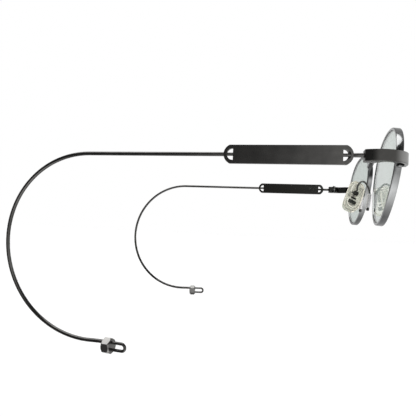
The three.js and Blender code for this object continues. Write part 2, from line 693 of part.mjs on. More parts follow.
function addFront(parent, label, side) {
  const rim = rimFrame(side);
  parent.add(rim);
  addMesh(rim, `rim_${label}`, rimBand(side), BRIGHT_STEEL);
  addMesh(rim, `lens_${label}`, lensBlank(), TINTED_LENS);
  const upper = LOCK_LEVEL + FIT_GAP / 2;
  const lower = LOCK_LEVEL - FIT_GAP / 2 - LOCK_HEIGHT;
  addMesh(rim, `rim_lock_upper_${label}`, lockHalf(side, upper), BRIGHT_STEEL);
  addMesh(rim, `rim_lock_lower_${label}`, lockHalf(side, lower), BRIGHT_STEEL);
  addMesh(rim, `rim_lock_screw_${label}`, lockScrew(side), DARK_STEEL);
  addMesh(rim, `pad_post_${label}`, padPost(side), BRIGHT_STEEL);
  addMesh(parent, `end_piece_${label}`, endPiece(side), GUNMETAL);
  addMesh(parent, `hinge_leaf_front_${label}`, frontLeaf(side), DARK_STEEL);
  addMesh(parent, `hinge_screw_${label}`, hingeScrew(side), BRIGHT_STEEL);
  addMesh(parent, `pad_arm_${label}`, padArm(side), DARK_STEEL);
  const pad = padFrame(side);
  parent.add(pad);
  addMesh(pad, `pad_box_${label}`, padBox(side), DARK_STEEL);
  addMesh(pad, `pad_screw_${label}`, padScrew(side), DARK_STEEL);
  addMesh(pad, `pad_tab_${label}`, padTab(side), DARK_STEEL);
  addMesh(pad, `nose_pad_${label}`, nosePad(side), CLEAR_SILICONE);
}

function addTemple(parent, label, side) {
  addMesh(parent, `temple_root_${label}`, templeRoot(side), GUNMETAL);
  addMesh(parent, `hinge_leaf_temple_${label}`, templeLeaf(side), DARK_STEEL);
  addMesh(parent, `stem_wire_${label}`, stemWire(side), DARK_STEEL);
  addMesh(parent, `name_plate_${label}`, namePlate(side), GUNMETAL);
  addHook(parent, label, side);
}

const glasses = new THREE.Group();
glasses.name = 'sunglasses';
addMesh(glasses, 'bridge', bridgeArch(), BRIGHT_STEEL);
for (const [label, side] of Object.entries(SIDES)) {
  addFront(glasses, label, side);
  addTemple(glasses, label, side);
}

export default glasses;
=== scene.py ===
import json
import math

import bmesh
import bpy
from mathutils import Matrix, Vector

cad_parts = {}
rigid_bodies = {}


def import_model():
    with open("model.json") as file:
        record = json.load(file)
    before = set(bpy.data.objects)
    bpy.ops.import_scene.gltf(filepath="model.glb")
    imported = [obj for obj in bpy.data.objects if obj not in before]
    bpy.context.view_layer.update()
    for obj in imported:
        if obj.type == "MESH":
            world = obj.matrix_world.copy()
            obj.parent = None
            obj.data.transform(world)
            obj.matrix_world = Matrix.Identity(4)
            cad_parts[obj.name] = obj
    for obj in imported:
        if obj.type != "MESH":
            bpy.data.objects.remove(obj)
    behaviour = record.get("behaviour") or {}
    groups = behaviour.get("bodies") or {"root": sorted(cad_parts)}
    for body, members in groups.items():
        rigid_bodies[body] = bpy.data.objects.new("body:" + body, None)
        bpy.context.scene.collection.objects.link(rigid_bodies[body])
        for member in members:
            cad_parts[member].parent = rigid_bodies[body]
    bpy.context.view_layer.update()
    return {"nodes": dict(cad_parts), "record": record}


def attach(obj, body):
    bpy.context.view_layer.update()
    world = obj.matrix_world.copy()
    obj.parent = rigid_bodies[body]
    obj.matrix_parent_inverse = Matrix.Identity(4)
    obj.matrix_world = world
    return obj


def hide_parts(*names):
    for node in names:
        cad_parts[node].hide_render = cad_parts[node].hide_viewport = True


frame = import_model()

MM = 0.001
QUARTER = math.pi / 2

# Every piece is made in millimetres for the wearer's left side and mirrored for the right.
# +X is the wearer's left, +Y points to the ears, +Z is up.
BODY_OF = {node: body for body, nodes in frame["record"]["behaviour"]["bodies"].items() for node in nodes}


# Bench work

DOUBLED = 1e-7
ALONG = {"X": (0, QUARTER, 0), "Y": (-QUARTER, 0, 0), "Z": (0, 0, 0)}


def take(piece):
    """Puts one piece alone on the bench."""
    bpy.ops.object.select_all(action="DESELECT")
    piece.select_set(True)
    bpy.context.view_layer.objects.active = piece


def open_mesh(piece):
    take(piece)
    bpy.ops.object.mode_set(mode="EDIT")


def close_mesh():
    bpy.ops.object.mode_set(mode="OBJECT")


def fix_place():
    bpy.ops.object.transform_apply(location=True, rotation=True, scale=True)
    return bpy.context.object


def block(size, centre):
    """A cuboid to start a piece from."""
    bpy.ops.object.select_all(action="DESELECT")
    bpy.ops.mesh.primitive_cube_add(size=MM, location=Vector(centre) * MM, scale=size)
    return fix_place()


def rod(radius, length, centre, along="Z", sides=32):
    """A round bar to start a piece from."""
    bpy.ops.object.select_all(action="DESELECT")
    bpy.ops.mesh.primitive_cylinder_add(
        vertices=sides, radius=radius * MM, depth=length * MM,
        location=Vector(centre) * MM, rotation=ALONG[along],
    )
    return fix_place()


def hoop(radius, sides, centre=(0, 0, 0), along="Z"):
    """A bare ring of edges, drawn out into a tube or a band afterwards."""
    bpy.ops.object.select_all(action="DESELECT")
    bpy.ops.mesh.primitive_circle_add(
        vertices=sides, radius=radius * MM, location=Vector(centre) * MM, rotation=ALONG[along],
    )
    return fix_place()


def pick(kind, test):
    """In edit mode, selects the points, edges or faces whose middle and self pass the test."""
    bpy.ops.mesh.select_mode(type=kind)
    bpy.ops.mesh.select_all(action="DESELECT")
    mesh = bmesh.from_edit_mesh(bpy.context.edit_object.data)
    for item in {"VERT": mesh.verts, "EDGE": mesh.edges, "FACE": mesh.faces}[kind]:
        points = [item.co] if kind == "VERT" else [point.co for point in item.verts]
        middle = sum(points, Vector()) / len(points) / MM
        if test(middle, item):
            item.select_set(True)
    mesh.select_flush_mode()
    bmesh.update_edit_mesh(bpy.context.edit_object.data)


def pick_all():
    bpy.ops.mesh.select_all(action="SELECT")


def edge_run(edge):
    return (edge.verts[1].co - edge.verts[0].co).normalized()


def redraw(outline):
    """In edit mode, moves every point of a hoop to where the outline has it, by its angle."""
    mesh = bmesh.from_edit_mesh(bpy.context.edit_object.data)
    for point in mesh.verts:
        x, y = outline(math.atan2(point.co.y, point.co.x))
        point.co = Vector((x, y, 0)) * MM
    bmesh.update_edit_mesh(bpy.context.edit_object.data)


def draw_out(step, scale=(1, 1, 1), about=(0, 0, 0)):
    """Extrudes what is selected by a step and then scales its end about a point."""
    bpy.ops.mesh.extrude_region_move(TRANSFORM_OT_translate={"value": Vector(step) * MM})
    if tuple(scale) != (1, 1, 1):
        bpy.ops.transform.resize(value=scale, center_override=Vector(about) * MM)


def turn_out(angle, centre, axis, steps):
    """Extrudes what is selected round an axis, anticlockwise; the operator itself turns clockwise."""
    bpy.ops.mesh.spin(steps=steps, angle=-angle, center=Vector(centre) * MM, axis=axis)


def close_ends(*tests):
    """Fills open ends of a tube, each found by its place."""
    for test in tests:
        pick("EDGE", lambda middle, edge: edge.is_boundary and test(middle))
        bpy.ops.mesh.edge_face_add()


def heal(piece):
    """Merges doubled points and turns all faces outwards."""
    open_mesh(piece)
    pick_all()
    bpy.ops.mesh.remove_doubles(threshold=DOUBLED)
    bpy.ops.mesh.normals_make_consistent(inside=False)
    close_mesh()
    return piece


def round_edges(piece, width, segments=3, over=30):
    """Rounds each edge that is sharper than an angle in degrees."""
    bevel = piece.modifiers.new("rounding", "BEVEL")
    bevel.width = width * MM
    bevel.segments = segments
    bevel.limit_method = "ANGLE"
    bevel.angle_limit = math.radians(over)
    take(piece)
    bpy.ops.object.modifier_apply(modifier=bevel.name)
    return piece


def work_with(piece, tool, way):
    """Cuts, joins or intersects a piece with a tool, which is used up."""
    fit = piece.modifiers.new("fitting", "BOOLEAN")
    fit.operation = way
    fit.solver = "EXACT"
    fit.object = tool
    take(piece)
    bpy.ops.object.modifier_apply(modifier=fit.name)
    bpy.data.objects.remove(tool)
    return piece


def cut(piece, *tools):
    for tool in tools:
        work_with(piece, tool, "DIFFERENCE")
    return piece


def add(piece, *others):
    for other in others:
        work_with(piece, other, "UNION")
    return piece


def saw_off(piece, spot, outwards):
    """Saws a piece square through a spot and drops what lies outwards of it."""
    open_mesh(piece)
    pick_all()
    bpy.ops.mesh.bisect(
        plane_co=Vector(spot) * MM, plane_no=outwards, clear_outer=True, use_fill=True, threshold=DOUBLED,
    )
    close_mesh()
    return heal(piece)


def place(piece, matrix):
    """Moves a piece from its own frame to its place in the glasses."""
    take(piece)
    piece.matrix_world = matrix
    return fix_place()


def shift(x=0, y=0, z=0):
    return Matrix.Translation(Vector((x, y, z)) * MM)


def turn(degrees, axis):
    return Matrix.Rotation(math.radians(degrees), 4, axis)


def swap_side(piece):
    """Turns a piece into its mirror image on the other side of the face."""
    take(piece)
    piece.scale = (-1, 1, 1)
    return heal(fix_place())


def twin(piece):
    """The same piece again for the other side of the face."""
    take(piece)
    bpy.ops.object.duplicate()
    return swap_side(bpy.context.object)


def fine_copy(node):
    """A merged copy of a small solid of the frame, its facets joined into flats."""
    take(frame["nodes"][node])
    bpy.ops.object.duplicate()
    copy = bpy.context.object
    bpy.ops.object.parent_clear(type="CLEAR_KEEP_TRANSFORM")
    fix_place()
    open_mesh(copy)
    pick_all()
    bpy.ops.mesh.remove_doubles(threshold=DOUBLED)
    bpy.ops.mesh.dissolve_limited(angle_limit=math.radians(2))
    close_mesh()
    return copy


def dress(piece, node, finish, smooth_under=35):
    """Gives a finished piece its shading and its finish, names it after the solid that it stands for, hides
    that solid and puts the piece on its body.
    """
    take(piece)
    bpy.ops.object.shade_smooth_by_angle(angle=math.radians(smooth_under))
    piece.name = f"{node}_finished"
    piece.data.name = piece.name
    piece.data.materials.clear()
    piece.data.materials.append(finish)
    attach(piece, BODY_OF[node])
    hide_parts(node)
    return piece


def dress_pair(piece, node, finish, smooth_under=35):
    """Dresses a piece for the left side and its twin for the right side."""
    other = twin(piece)
    dress(piece, f"{node}_left", finish, smooth_under)
    dress(other, f"{node}_right", finish, smooth_under)


# Finishes

NOISE_ENDS = (0.3, 0.7)
GRAIN_HEIGHT = 0.05
METAL_CLOUDS = 260
METAL_SMEARS = 900
# Lighter edges, partly rubbed plating and partly a painted edge highlight.
WORN_AND_HIGHLIT_WIDTH = 0.12
WORN_AND_HIGHLIT_ENDS = (0.995, 0.93)
WORN_AND_HIGHLIT_SHARE = 0.6
# Painted shade: the darker tone that the rear of the plating is painted towards.
PAINTED_REAR_SHADE = (0.096, 0.094, 0.089)
# Painted shade: where the face towards the head is painted darker.
INNER_SHADE_ENDS = (-20, -60)
EDGE_SHADE_BLEND = 0.4


def nodes_of(owner):
    owner.use_nodes = True
    owner.node_tree.nodes.clear()
    return owner.node_tree.nodes, owner.node_tree.links


def new_finish(name):
    """A new finish that has only its shader yet."""
    finish = bpy.data.materials.new(name)
    nodes, links = nodes_of(finish)
    shader = nodes.new("ShaderNodeBsdfPrincipled")
    end = nodes.new("ShaderNodeOutputMaterial")
    links.new(shader.outputs["BSDF"], end.inputs["Surface"])
    return finish, shader, nodes, links


def speckle(nodes, links, scale, stretch=(1, 1, 1), detail=4.0):
    """Noise on the piece itself, in specks per metre, drawn out where it is a brushed line."""
    place_on = nodes.new("ShaderNodeTexCoord")
    spread = nodes.new("ShaderNodeMapping")
    spread.inputs["Scale"].default_value = stretch
    noise = nodes.new("ShaderNodeTexNoise")
    noise.inputs["Scale"].default_value = scale
    noise.inputs["Detail"].default_value = detail
    links.new(place_on.outputs["Object"], spread.inputs["Vector"])
    links.new(spread.outputs["Vector"], noise.inputs["Vector"])
    return noise.outputs["Fac"]


def spread_out(nodes, links, value, ends, results=(0, 1), course="LINEAR"):
    """Spreads a value that runs between two ends over two results."""
    spread = nodes.new("ShaderNodeMapRange")
    spread.interpolation_type = course
    for socket, number in zip(("From Min", "From Max", "To Min", "To Max"), (*ends, *results)):
        spread.inputs[socket].default_value = number
    links.new(value, spread.inputs["Value"])
    return spread.outputs["Result"]


def tinted(nodes, links, noise, dark, light):
    """Spreads noise between two colours."""
    ramp = nodes.new("ShaderNodeValToRGB")
    for stop, spot, tone in zip(ramp.color_ramp.elements, NOISE_ENDS, (dark, light)):
        stop.position = spot
        stop.color = (*tone, 1)
    links.new(noise, ramp.inputs["Fac"])
    return ramp.outputs["Color"]


def laid_over(nodes, links, under, over, share):
    """Lays a second colour over the first, by a share that changes over the piece."""
    layers = nodes.new("ShaderNodeMix")
    layers.data_type = "RGBA"
    layers.inputs["B"].default_value = (*over, 1)
    links.new(share, layers.inputs["Factor"])
    links.new(under, layers.inputs["A"])
    return layers.outputs["Result"]


def worn_and_highlit_edges(nodes, links, colour, worn_and_highlit):
    """Lightens the edges: partly the brighter metal where the plating is rubbed, partly a painted edge
    highlight.
    """
    rounded = nodes.new("ShaderNodeBevel")
    rounded.samples = 4
    rounded.inputs["Radius"].default_value = WORN_AND_HIGHLIT_WIDTH * MM
    surface = nodes.new("ShaderNodeNewGeometry")
    likeness = nodes.new("ShaderNodeVectorMath")
    likeness.operation = "DOT_PRODUCT"
    links.new(rounded.outputs["Normal"], likeness.inputs[0])
    links.new(surface.outputs["Normal"], likeness.inputs[1])
    edge = spread_out(nodes, links, likeness.outputs["Value"], WORN_AND_HIGHLIT_ENDS, (0, WORN_AND_HIGHLIT_SHARE))
    return laid_over(nodes, links, colour, worn_and_highlit, edge)


def painted_rear_shade(nodes, links, colour, front, rear):
    """Painted shade: darkens the plating from front to rear, standing in for the darker reflection at the
    rear.
    """
    place_on = nodes.new("ShaderNodeTexCoord")
    spot = nodes.new("ShaderNodeSeparateXYZ")
    links.new(place_on.outputs["Object"], spot.inputs["Vector"])
    share = spread_out(nodes, links, spot.outputs["Y"], (front * MM, rear * MM), course="SMOOTHSTEP")
    return laid_over(nodes, links, colour, PAINTED_REAR_SHADE, share)


def painted_inner_shade(nodes, links, colour, inside):
    """Painted shade: paints the face towards the head darker, standing in for the shade and dark reflection
    on that face.
    """
    place_on = nodes.new("ShaderNodeTexCoord")
    spot = nodes.new("ShaderNodeSeparateXYZ")
    facing = nodes.new("ShaderNodeSeparateXYZ")
    links.new(place_on.outputs["Object"], spot.inputs["Vector"])
    links.new(place_on.outputs["Normal"], facing.inputs["Vector"])
    outwards = nodes.new("ShaderNodeMath")
    outwards.operation = "MULTIPLY"
    links.new(spot.outputs["X"], outwards.inputs[0])
    links.new(facing.outputs["X"], outwards.inputs[1])
    ends = [end * MM for end in INNER_SHADE_ENDS]
    share = spread_out(nodes, links, outwards.outputs["Value"], ends)
    return laid_over(nodes, links, colour, inside, share)


def grained(nodes, links, shader, noise, depth):
    """Gives the surface a fine grain."""
    bump = nodes.new("ShaderNodeBump")
    bump.inputs["Strength"].default_value = depth
    bump.inputs["Distance"].default_value = GRAIN_HEIGHT * MM
    links.new(noise, bump.inputs["Height"])
    links.new(bump.outputs["Normal"], shader.inputs["Normal"])


def metal(
    name, dark, light, rough, grain, stretch=(1, 1, 1), depth=0.03,
    worn_and_highlit=None, rear_shade_span=None, inside=None, bare=1,
):
    """A plated metal: clouded colour, uneven polish, fine grain, and the edge wear, painted edge highlight
    and painted shade that it is given.
    """
    finish, shader, nodes, links = new_finish(name)
    shader.inputs["Metallic"].default_value = bare
    colour = tinted(nodes, links, speckle(nodes, links, METAL_CLOUDS, detail=3), dark, light)
    # Edges lightened by wear and by a painted highlight.
    if worn_and_highlit:
        colour = worn_and_highlit_edges(nodes, links, colour, worn_and_highlit)
    # Painted shade towards the rear.
    if rear_shade_span:
        colour = painted_rear_shade(nodes, links, colour, *rear_shade_span)
    # Painted shade on the face towards the head.
    if inside:
        colour = painted_inner_shade(nodes, links, colour, inside)
    links.new(colour, shader.inputs["Base Color"])
    smears = speckle(nodes, links, METAL_SMEARS, stretch)
    links.new(spread_out(nodes, links, smears, NOISE_ENDS, rough), shader.inputs["Roughness"])
    grained(nodes, links, shader, speckle(nodes, links, grain, stretch), depth)
    return finish


def clear(name, dark, light, rough, through, ior, clouds, smears, grain, depth, edge=None):
    """A see-through finish with faint clouds and smears; an edge colour, painted shade standing in for light
    absorbed along the longer path, shows where it is seen edge on.
    """
    finish, shader, nodes, links = new_finish(name)
    shader.inputs["Transmission Weight"].default_value = through
    shader.inputs["IOR"].default_value = ior
    colour = tinted(nodes, links, speckle(nodes, links, clouds, detail=3), dark, light)
    # Painted shade: a darker tone where the surface is seen edge on.
    if edge:
        slant = nodes.new("ShaderNodeLayerWeight")
        slant.inputs["Blend"].default_value = EDGE_SHADE_BLEND
        colour = laid_over(nodes, links, colour, edge, slant.outputs["Facing"])
    links.new(colour, shader.inputs["Base Color"])
    polish = spread_out(nodes, links, speckle(nodes, links, smears), NOISE_ENDS, rough)
    links.new(polish, shader.inputs["Roughness"])
    grained(nodes, links, shader, speckle(nodes, links, grain), depth)
    return finish


# Painted shade: its face towards the head is painted darker.
SATIN_GUNMETAL = metal(
    "satin_gunmetal", (0.105, 0.103, 0.1), (0.139, 0.136, 0.13), rough=(0.2, 0.26), grain=2600,
    stretch=(1, 0.04, 1), depth=0.05, worn_and_highlit=(0.23, 0.23, 0.225), inside=(0.05, 0.05, 0.046),
)
# Painted shade: its rear is painted darker.
POLISHED_GUNMETAL = metal(
    "polished_gunmetal", (0.33, 0.33, 0.322), (0.37, 0.37, 0.36), rough=(0.28, 0.34), grain=3000,
    depth=0.01, worn_and_highlit=(0.38, 0.38, 0.37), rear_shade_span=(-7.5, -3.8),
)
DARK_WIRE = metal(
    "dark_wire", (0.1, 0.098, 0.095), (0.14, 0.137, 0.132), rough=(0.14, 0.22), grain=3200,
)
POLISHED_STEEL = metal(
    "polished_steel", (0.333, 0.339, 0.339), (0.389, 0.394, 0.394), rough=(0.1, 0.2), grain=3200,
)
BEAD_STEEL = metal(
    "bead_steel", (0.24, 0.236, 0.23), (0.3, 0.295, 0.285), rough=(0.14, 0.22), grain=3200, depth=0.02,
)
SATIN_SILVER = metal(
    "satin_silver", (0.78, 0.775, 0.78), (0.84, 0.835, 0.84), rough=(0.35, 0.45), grain=2600,
    depth=0.05, bare=0.4,
)
BLACK_OXIDE = metal(
    "black_oxide", (0.039, 0.038, 0.034), (0.061, 0.06, 0.056), rough=(0.2, 0.3), grain=3200,
)
PALE_LENS = clear(
    "pale_lens", (0.6, 0.665, 0.63), (0.63, 0.695, 0.66), rough=(0.0, 0.01), through=1, ior=1.5,
    clouds=120, smears=420, grain=500, depth=0.002,
)
# Its yellow-brown edge colour is painted shade where the pad is seen edge on.
CLEAR_SILICONE = clear(
    "clear_silicone", (0.94, 0.9353, 0.8836), (1.0, 0.995, 0.94), rough=(0.1, 0.16),
    through=0.85, ior=1.3, clouds=160, smears=500, grain=400, depth=0.01, edge=(0.55, 0.48, 0.26),
)


# Rims, lenses and bridge

RIM_HALF_WIDTH = 24.5
RIM_HALF_HEIGHT = 19
RIM_DEPTH = 2.5
RIM_EGG = 0.045
RIM_CENTRE = (34, -8.76, 7.2)
RIM_WRAP = 2.6
RIM_TILT = 95.7
RIM_PLACE = shift(*RIM_CENTRE) @ turn(RIM_WRAP, "Z") @ turn(RIM_TILT, "X")
UPRIGHT_IN_RIM = turn(-90, "X")

# Sections of the rim, the lens and the plug that trims the bridge: how far outside the rim's outline,
# and how far towards the front.
RIM_SECTION = [
    (0, 0.92), (-0.03, 1.08), (-0.13, 1.2), (-0.3, 1.25), (-0.92, 1.25), (-1.05, 1.2), (-1.1, 1.08),
    (-1.1, 0.62), (-0.45, 0.16), (-0.45, -0.16), (-1.1, -0.62),
    (-1.1, -1.08), (-1.05, -1.2), (-0.92, -1.25), (-0.3, -1.25), (-0.13, -1.2), (-0.03, -1.08), (0, -0.92),
]
LENS_SECTION = [
    (-1.25, 0.55), (-1.18, 0.5), (-0.65, 0.1), (-0.65, -0.1), (-1.18, -0.5), (-1.25, -0.55),
    (-1.25, -0.92), (-1.3, -0.97),
]
PLUG_SECTION = [(-0.1, 8), (-0.1, -8)]
LOCK_LEVEL = 2.1
RIM_SLIT = (3.4, 0.2, 4)


def egg_outline(grow):
    def outline(angle):
        egg = 1 + RIM_EGG * math.sin(3 * angle)
        return (
            (RIM_HALF_WIDTH + grow) * egg * math.cos(angle),
            (RIM_HALF_HEIGHT + grow) * egg * math.sin(angle),
        )
    return outline


def egg_band(section, sides=160):
    """Draws a hoop of the rim's outline through a section of (grow, level) points."""
    band = hoop(1, sides)
    open_mesh(band)
    redraw(egg_outline(section[0][0]))
    pick_all()
    bpy.ops.transform.translate(value=(0, 0, section[0][1] * MM))
    for (grow, level), (next_grow, next_level) in zip(section, section[1:]):
        wider = (RIM_HALF_WIDTH + next_grow) / (RIM_HALF_WIDTH + grow)
        higher = (RIM_HALF_HEIGHT + next_grow) / (RIM_HALF_HEIGHT + grow)
        draw_out((0, 0, next_level - level), (wider, higher, 1))
    return band


def make_rim():
    """A band with a groove for the lens, slit at its lock."""
    rim = egg_band(RIM_SECTION)
    pick("EDGE", lambda middle, edge: edge.is_boundary)
    bpy.ops.mesh.bridge_edge_loops()
    close_mesh()
    heal(rim)
    cut(rim, block(RIM_SLIT, (RIM_HALF_WIDTH, LOCK_LEVEL, 0)))
    dress_pair(place(rim, RIM_PLACE), "rim", POLISHED_STEEL, smooth_under=28)


def make_lens():
    """A flat lens with a bevelled edge, its rear face nearly flush with the rim."""
    lens = egg_band(LENS_SECTION)
    close_ends(lambda middle: middle.z > 0.5, lambda middle: middle.z < -0.5)
    close_mesh()
    heal(lens)
    dress_pair(place(lens, RIM_PLACE), "lens", PALE_LENS, smooth_under=20)


# Roundings and slot of a screw, as shares of its head's height, its pin's radius and its head's radius.
HEAD_ROUNDING = 0.35
PIN_ROUNDING = 0.25
SLOT_WIDTH = 0.32


def slotted_screw(radius, length, head_radius, head_height, sides=28):
    """A pin along Z from its foot at the origin, with a rounded, slotted head."""
    pin = rod(radius, length, (0, 0, length / 2), sides=sides)
    open_mesh(pin)
    pick("FACE", lambda middle, face: face.normal.z > 0.9)
    draw_out((0, 0, 0), (head_radius / radius, head_radius / radius, 1), (0, 0, length))
    draw_out((0, 0, head_height))
    top = length + head_height - 0.01
    pick("EDGE", lambda middle, edge: min(point.co.z for point in edge.verts) > top * MM)
    bpy.ops.mesh.bevel(offset=HEAD_ROUNDING * head_height * MM, segments=3)
    pick("EDGE", lambda middle, edge: max(point.co.z for point in edge.verts) < 0.01 * MM)
    bpy.ops.mesh.bevel(offset=PIN_ROUNDING * radius * MM, segments=2)
    close_mesh()
    slot = (3 * head_radius, SLOT_WIDTH * head_radius, head_height)
    return cut(pin, block(slot, (0, 0, length + head_height)))


LOCK_X = RIM_HALF_WIDTH + 1.5
LOCK_SIZE = (2, 1.8, 2.1)
LOCK_MIDDLE_Z = -0.15
LOCK_ROUNDING = 0.98
LOCK_AXIS_Z = -0.2
LOCK_FOOT = LOCK_LEVEL - RIM_SLIT[1] / 2 - LOCK_SIZE[1]


def lock_half(low):
    """One half of the block that closes the rim, round at its rear."""
    half = block(LOCK_SIZE, (LOCK_X, low + LOCK_SIZE[1] / 2, LOCK_MIDDLE_Z))
    open_mesh(half)
    pick("EDGE", lambda middle, edge: middle.z < -1.1 and abs(middle.x - LOCK_X) > 0.9)
    bpy.ops.mesh.bevel(offset=LOCK_ROUNDING * MM, segments=8)
    close_mesh()
    return round_edges(half, width=0.12)


def make_lock():
    """The two halves of the lock and the screw through both."""
    upper = lock_half(LOCK_LEVEL + RIM_SLIT[1] / 2)
    dress_pair(place(upper, RIM_PLACE), "rim_lock_upper", POLISHED_STEEL)
    dress_pair(place(lock_half(LOCK_FOOT), RIM_PLACE), "rim_lock_lower", POLISHED_STEEL)
    screw = slotted_screw(radius=0.4, length=4, head_radius=0.7, head_height=0.4)
    stand = RIM_PLACE @ shift(LOCK_X, LOCK_FOOT, LOCK_AXIS_Z) @ UPRIGHT_IN_RIM
    dress_pair(place(screw, stand), "rim_lock_screw", DARK_WIRE)


BRIDGE_RADIUS = 36.4
BRIDGE_FLOOR = 18.2
BRIDGE_CENTRE_Y = -10.2
BRIDGE_THICK = 1.3
BRIDGE_ROUNDING = 0.3
BRIDGE_REACH = math.radians(22.6)


def make_bridge():
    """A rounded flat bar, bent in an arch and trimmed to the outside of both rims."""
    centre = (0, BRIDGE_CENTRE_Y, BRIDGE_FLOOR - BRIDGE_RADIUS)
    crown = Vector((0, BRIDGE_CENTRE_Y, BRIDGE_FLOOR + BRIDGE_THICK / 2)) * MM
    bpy.ops.object.select_all(action="DESELECT")
    bpy.ops.mesh.primitive_plane_add(size=MM, location=crown, rotation=(0, QUARTER, 0))
    bridge = fix_place()
    open_mesh(bridge)
    pick_all()
    bpy.ops.transform.resize(value=(1, RIM_DEPTH, BRIDGE_THICK), center_override=crown)
    bpy.ops.mesh.bevel(offset=BRIDGE_ROUNDING * MM, segments=4, affect="VERTICES")
    pick_all()
    bpy.ops.mesh.delete(type="ONLY_FACE")
    pick_all()
    bpy.ops.transform.rotate(value=BRIDGE_REACH, orient_axis="Y", center_override=Vector(centre) * MM)
    turn_out(2 * BRIDGE_REACH, centre, (0, 1, 0), 40)
    close_ends(lambda middle: middle.x > 9, lambda middle: middle.x < -9)
    close_mesh()
    heal(bridge)
    for side in (1, -1):
        plug = egg_band(PLUG_SECTION)
        close_ends(lambda middle: middle.z > 1, lambda middle: middle.z < -1)
        close_mesh()
        heal(plug)
        place(plug, RIM_PLACE)
        cut(bridge, plug if side > 0 else swap_side(plug))
    dress(bridge, "bridge", POLISHED_STEEL)


# End pieces and hinges

OUTER_X = 72.2
LUG_LOW = 7.65
LUG_HIGH = 11.35
LUG_HEIGHT = LUG_HIGH - LUG_LOW
LUG_MIDDLE = (LUG_LOW + LUG_HIGH) / 2
LUG_BEND = (59.8, 0.8)
LUG_REACH = (12.4, 11)
LUG_PAST_MIDDLE = 0.36
LUG_THICK = 1.2
LUG_TIP_X = 56.8
LUG_TIP_ROUNDING = 1.3
LUG_REAR_Y = 2.85
HINGE = (68, 1.7)

# Level, width and steps of the rounding on upper and lower edges.
LUG_EDGES = ((LUG_HIGH, 0.05, 2), (LUG_LOW, 0.28, 4))


def soften(piece):
    """Breaks the upper edges a little and rounds the lower edges."""
    for level, width, segments in LUG_EDGES:
        open_mesh(piece)
        pick("EDGE", lambda middle, edge: abs(middle.z - level) < 0.01 and edge.calc_face_angle(0) > 0.6)
        bpy.ops.mesh.bevel(offset=width * MM, segments=segments)
        close_mesh()


def make_end_piece():
    """A broad strip, bent round from beside the hinge to the rim's front, with a rounded tip."""
    strip = hoop(1, 120)
    open_mesh(strip)
    pick("VERT", lambda middle, point: middle.x < -1e-4 or middle.y > LUG_PAST_MIDDLE)
    bpy.ops.mesh.delete(type="VERT")
    pick_all()
    bpy.ops.transform.resize(value=(*LUG_REACH, 1), center_override=(0, 0, 0))
    bpy.ops.transform.translate(value=Vector((*LUG_BEND, LUG_LOW)) * MM)
    pick("VERT", lambda middle, point: middle.x < LUG_BEND[0] + 1e-3)
    draw_out((LUG_TIP_X - LUG_BEND[0], 0, 0))
    pick_all()
    draw_out((0, 0, LUG_HEIGHT))
    pick_all()
    bpy.ops.mesh.normals_make_consistent(inside=False)
    close_mesh()
    wall = strip.modifiers.new("wall", "SOLIDIFY")
    wall.thickness = LUG_THICK * MM
    wall.use_even_offset = True
    on_bend = strip.data.polygons[len(strip.data.polygons) // 2]
    wall.offset = -1 if on_bend.normal.x > 0 else 1
    take(strip)
    bpy.ops.object.modifier_apply(modifier=wall.name)
    open_mesh(strip)
    pick("EDGE", lambda middle, edge: middle.x < LUG_TIP_X + 0.01 and abs(edge_run(edge).y) > 0.9)
    bpy.ops.mesh.bevel(offset=LUG_TIP_ROUNDING * MM, segments=8)
    close_mesh()
    heal(strip)
    soften(strip)
    saw_off(strip, (0, LUG_REAR_Y, 0), (0, 1, 0))
    dress_pair(strip, "end_piece", POLISHED_GUNMETAL, smooth_under=8)


def make_hinge():
    """Both leaves with their edges broken, and the screw that is their pin."""
    for leaf, finish in (("hinge_leaf_front", DARK_WIRE), ("hinge_leaf_temple", BEAD_STEEL)):
        piece = round_edges(fine_copy(f"{leaf}_left"), width=0.07, segments=2, over=40)
        dress_pair(piece, leaf, finish, smooth_under=30)
    screw = slotted_screw(radius=0.5, length=LUG_HEIGHT + 0.2, head_radius=0.85, head_height=0.4)
    dress_pair(place(screw, shift(*HINGE, LUG_LOW)), "hinge_screw", POLISHED_STEEL)


# Temples

TEMPLE_X = 70
TEMPLE_LEVEL = 9.6
WIRE_RADIUS = 0.7
ROOT_FRONT_Y = 2.91
ROOT_REAR_Y = 4.9
ROOT_INNER_X = 66.9
ROOT_BLANK = 4
ROOT_ROUNDING = 0.5
ROOT_BORE = WIRE_RADIUS + 0.2
BORE_CUTTER = 2
MORTISE_SIZE = (3, 2.58, 1.6)
MORTISE_MIDDLE = (67.4, 3.06, LUG_MIDDLE)
STEM_IN_ROOT = 0.8
STEM_IN_PLATE = 0.1
PLATE_CENTRE_Y = 29.1
PLATE_LENGTH = 41.9
PLATE_HALF_HEIGHT = 3.15
PLATE_THICK = 1.2
LENGTHWISE = turn(90, "X") @ turn(90, "Y")


